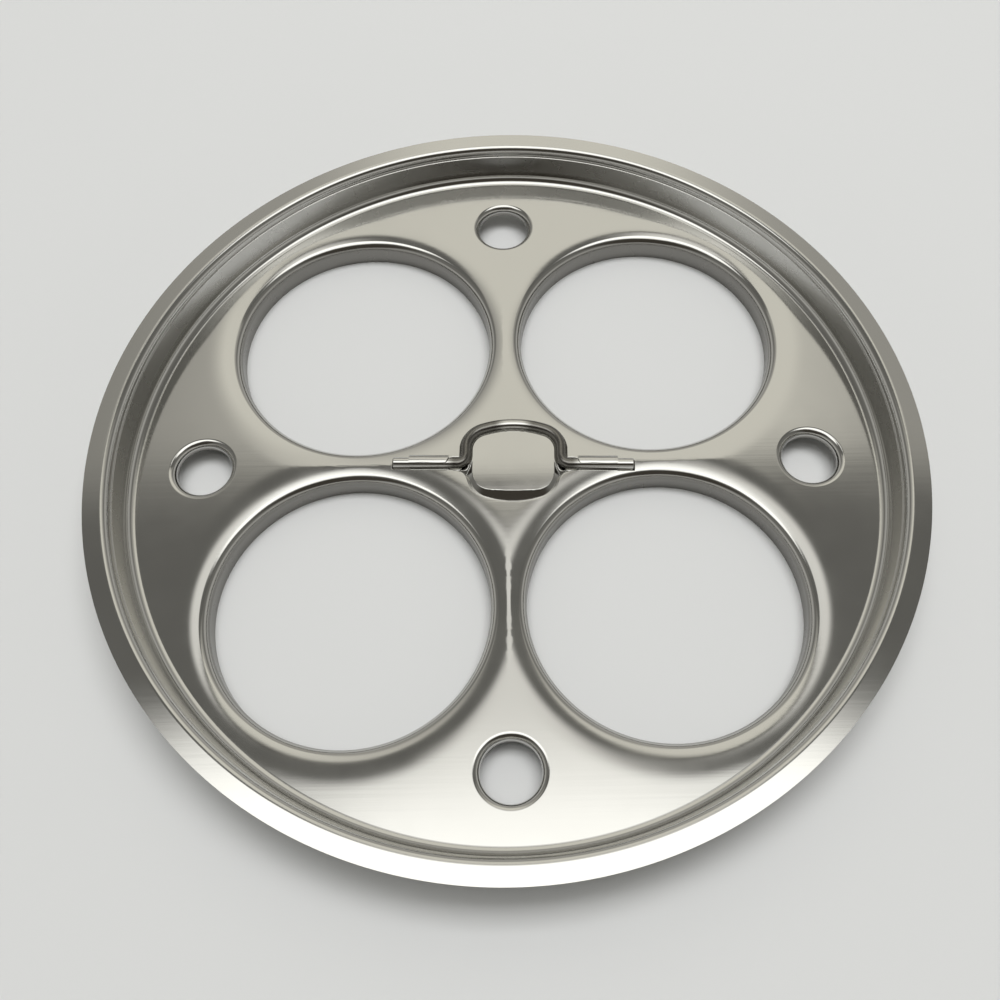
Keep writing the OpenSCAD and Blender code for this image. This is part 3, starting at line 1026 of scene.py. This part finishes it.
def build_light(context):
    """A soft lamp overhead for the table, and a room for the steel to mirror."""
    lamp = bpy.data.lights.new("soft_lamp", "AREA")
    lamp.shape = "RECTANGLE"
    lamp.size = 2.5
    lamp.size_y = 1.1
    lamp.energy = 56
    holder = bpy.data.objects.new("soft_lamp", lamp)
    holder.location = (0.35, 0.65, 3.0)
    holder.visible_glossy = False
    context.scene.collection.objects.link(holder)

    world = bpy.data.worlds.new("studio")
    context.scene.world = world
    world.use_nodes = True
    tree = world.node_tree
    tree.nodes.clear()
    towards = add_node(tree, "ShaderNodeTexCoord").outputs["Generated"]
    split = add_node(tree, "ShaderNodeSeparateXYZ", {"Vector": towards})
    # The height is held above nothing, so that the slopes stay finite at the horizon
    rise = add_node(tree, "ShaderNodeMath", {0: split.outputs["Z"], 1: 0.02}, operation="MAXIMUM")
    across = add_node(tree, "ShaderNodeMath", {0: split.outputs["X"], 1: rise.outputs[0]}, operation="DIVIDE")
    away = add_node(tree, "ShaderNodeMath", {0: split.outputs["Y"], 1: rise.outputs[0]}, operation="DIVIDE")
    low = add_node(
        tree,
        "ShaderNodeMapRange",
        {"Value": split.outputs["Z"], "From Min": PALE_BELOW[0], "From Max": PALE_BELOW[1]},
        interpolation_type="SMOOTHSTEP",
    )
    colour = add_node(
        tree,
        "ShaderNodeMix",
        {"Factor": low.outputs[0], "A": linear("7C7B77"), "B": linear("BDBCB8")},
        data_type="RGBA",
    ).outputs["Result"]
    for name, middle, half, soft, near, far, blur, tint, bright in ROOM:
        off = add_node(tree, "ShaderNodeMath", {0: across.outputs[0], 1: middle}, operation="SUBTRACT")
        off = add_node(tree, "ShaderNodeMath", {0: off.outputs[0]}, operation="ABSOLUTE")
        mask = add_node(
            tree,
            "ShaderNodeMapRange",
            {"Value": off.outputs[0], "From Min": half + soft / 2, "From Max": half - soft / 2},
            interpolation_type="SMOOTHSTEP",
            label=name,
        )
        for limit, reach in ((near, blur / 2), (far, -blur / 2)):
            reached = add_node(
                tree,
                "ShaderNodeMapRange",
                {"Value": away.outputs[0], "From Min": limit - reach, "From Max": limit + reach},
                interpolation_type="SMOOTHSTEP",
            )
            mask = add_node(
                tree, "ShaderNodeMath", {0: mask.outputs[0], 1: reached.outputs[0]}, operation="MULTIPLY"
            )
        painted = [c * bright for c in linear(tint)[:3]] + [1.0]
        colour = add_node(
            tree, "ShaderNodeMix", {"Factor": mask.outputs[0], "A": colour, "B": painted}, data_type="RGBA"
        ).outputs["Result"]
    # The camera sees a plain pale backdrop instead
    seen = add_node(tree, "ShaderNodeLightPath").outputs["Is Camera Ray"]
    colour = add_node(
        tree, "ShaderNodeMix", {"Factor": seen, "A": colour, "B": linear("DEDEDC")}, data_type="RGBA"
    ).outputs["Result"]
    shade = add_node(tree, "ShaderNodeBackground", {"Color": colour, "Strength": 1.0})
    add_node(tree, "ShaderNodeOutputWorld", {"Surface": shade.outputs[0]})
    context.scene.view_settings.view_transform = "Standard"


# The camera stands before the plate and looks down on it, in metres and degrees. The picture is 1000 pixels
# wide and high, and the camera's axis meets it a little off its middle.
PICTURE_SIZE = 1000
CAMERA_PLACE = (0.00335, -0.14042, 0.26554)
CAMERA_TILT = (27.036, 0.61, -0.977)
LENS_MM = 36.98
PICTURE_MIDDLE = (517.1, 490.3)


def build_camera(context):
    camera = bpy.data.cameras.new("camera")
    camera.sensor_width = 36
    camera.lens = LENS_MM
    camera.shift_x = (PICTURE_SIZE / 2 - PICTURE_MIDDLE[0]) / PICTURE_SIZE
    camera.shift_y = (PICTURE_MIDDLE[1] - PICTURE_SIZE / 2) / PICTURE_SIZE
    camera.clip_start = 0.01
    holder = bpy.data.objects.new("camera", camera)
    holder.location = CAMERA_PLACE
    holder.rotation_euler = Euler([math.radians(a) for a in CAMERA_TILT])
    context.scene.collection.objects.link(holder)
    context.scene.camera = holder


class VIEW3D_PT_poacher(bpy.types.Panel):
    bl_label = "Poacher plate"
    bl_idname = "VIEW3D_PT_poacher"
    bl_space_type = "VIEW_3D"
    bl_region_type = "UI"
    bl_category = "Poacher plate"

    def draw(self, context):
        for operator in OPERATORS:
            self.layout.operator(operator.bl_idname)
        for group in GROUPS:
            held = getattr(context.scene, group)
            for name in held.bl_rna.properties.keys():
                if name not in ("rna_type", "name"):
                    self.layout.prop(held, name)


OPERATORS = (OBJECT_OT_poacher_plate, OBJECT_OT_poacher_bail, OBJECT_OT_poacher_stage)
GROUPS = {
    "poacher_plate": PlateSizes,
    "poacher_bail": BailSizes,
    "poacher_groove": GrooveSizes,
    "poacher_island": IslandSizes,
    "poacher_colours": SteelColours,
}
CLASSES = (*GROUPS.values(), *OPERATORS, VIEW3D_PT_poacher)


def register():
    for made in CLASSES:
        bpy.utils.register_class(made)
    for name, group in GROUPS.items():
        setattr(bpy.types.Scene, name, bpy.props.PointerProperty(type=group))


def unregister():
    for name in GROUPS:
        delattr(bpy.types.Scene, name)
    for made in reversed(CLASSES):
        bpy.utils.unregister_class(made)


def main():
    register()
    bpy.ops.object.poacher_plate()
    bpy.ops.object.poacher_bail()
    bpy.ops.object.poacher_stage()


if __name__ == "__main__":
    main()
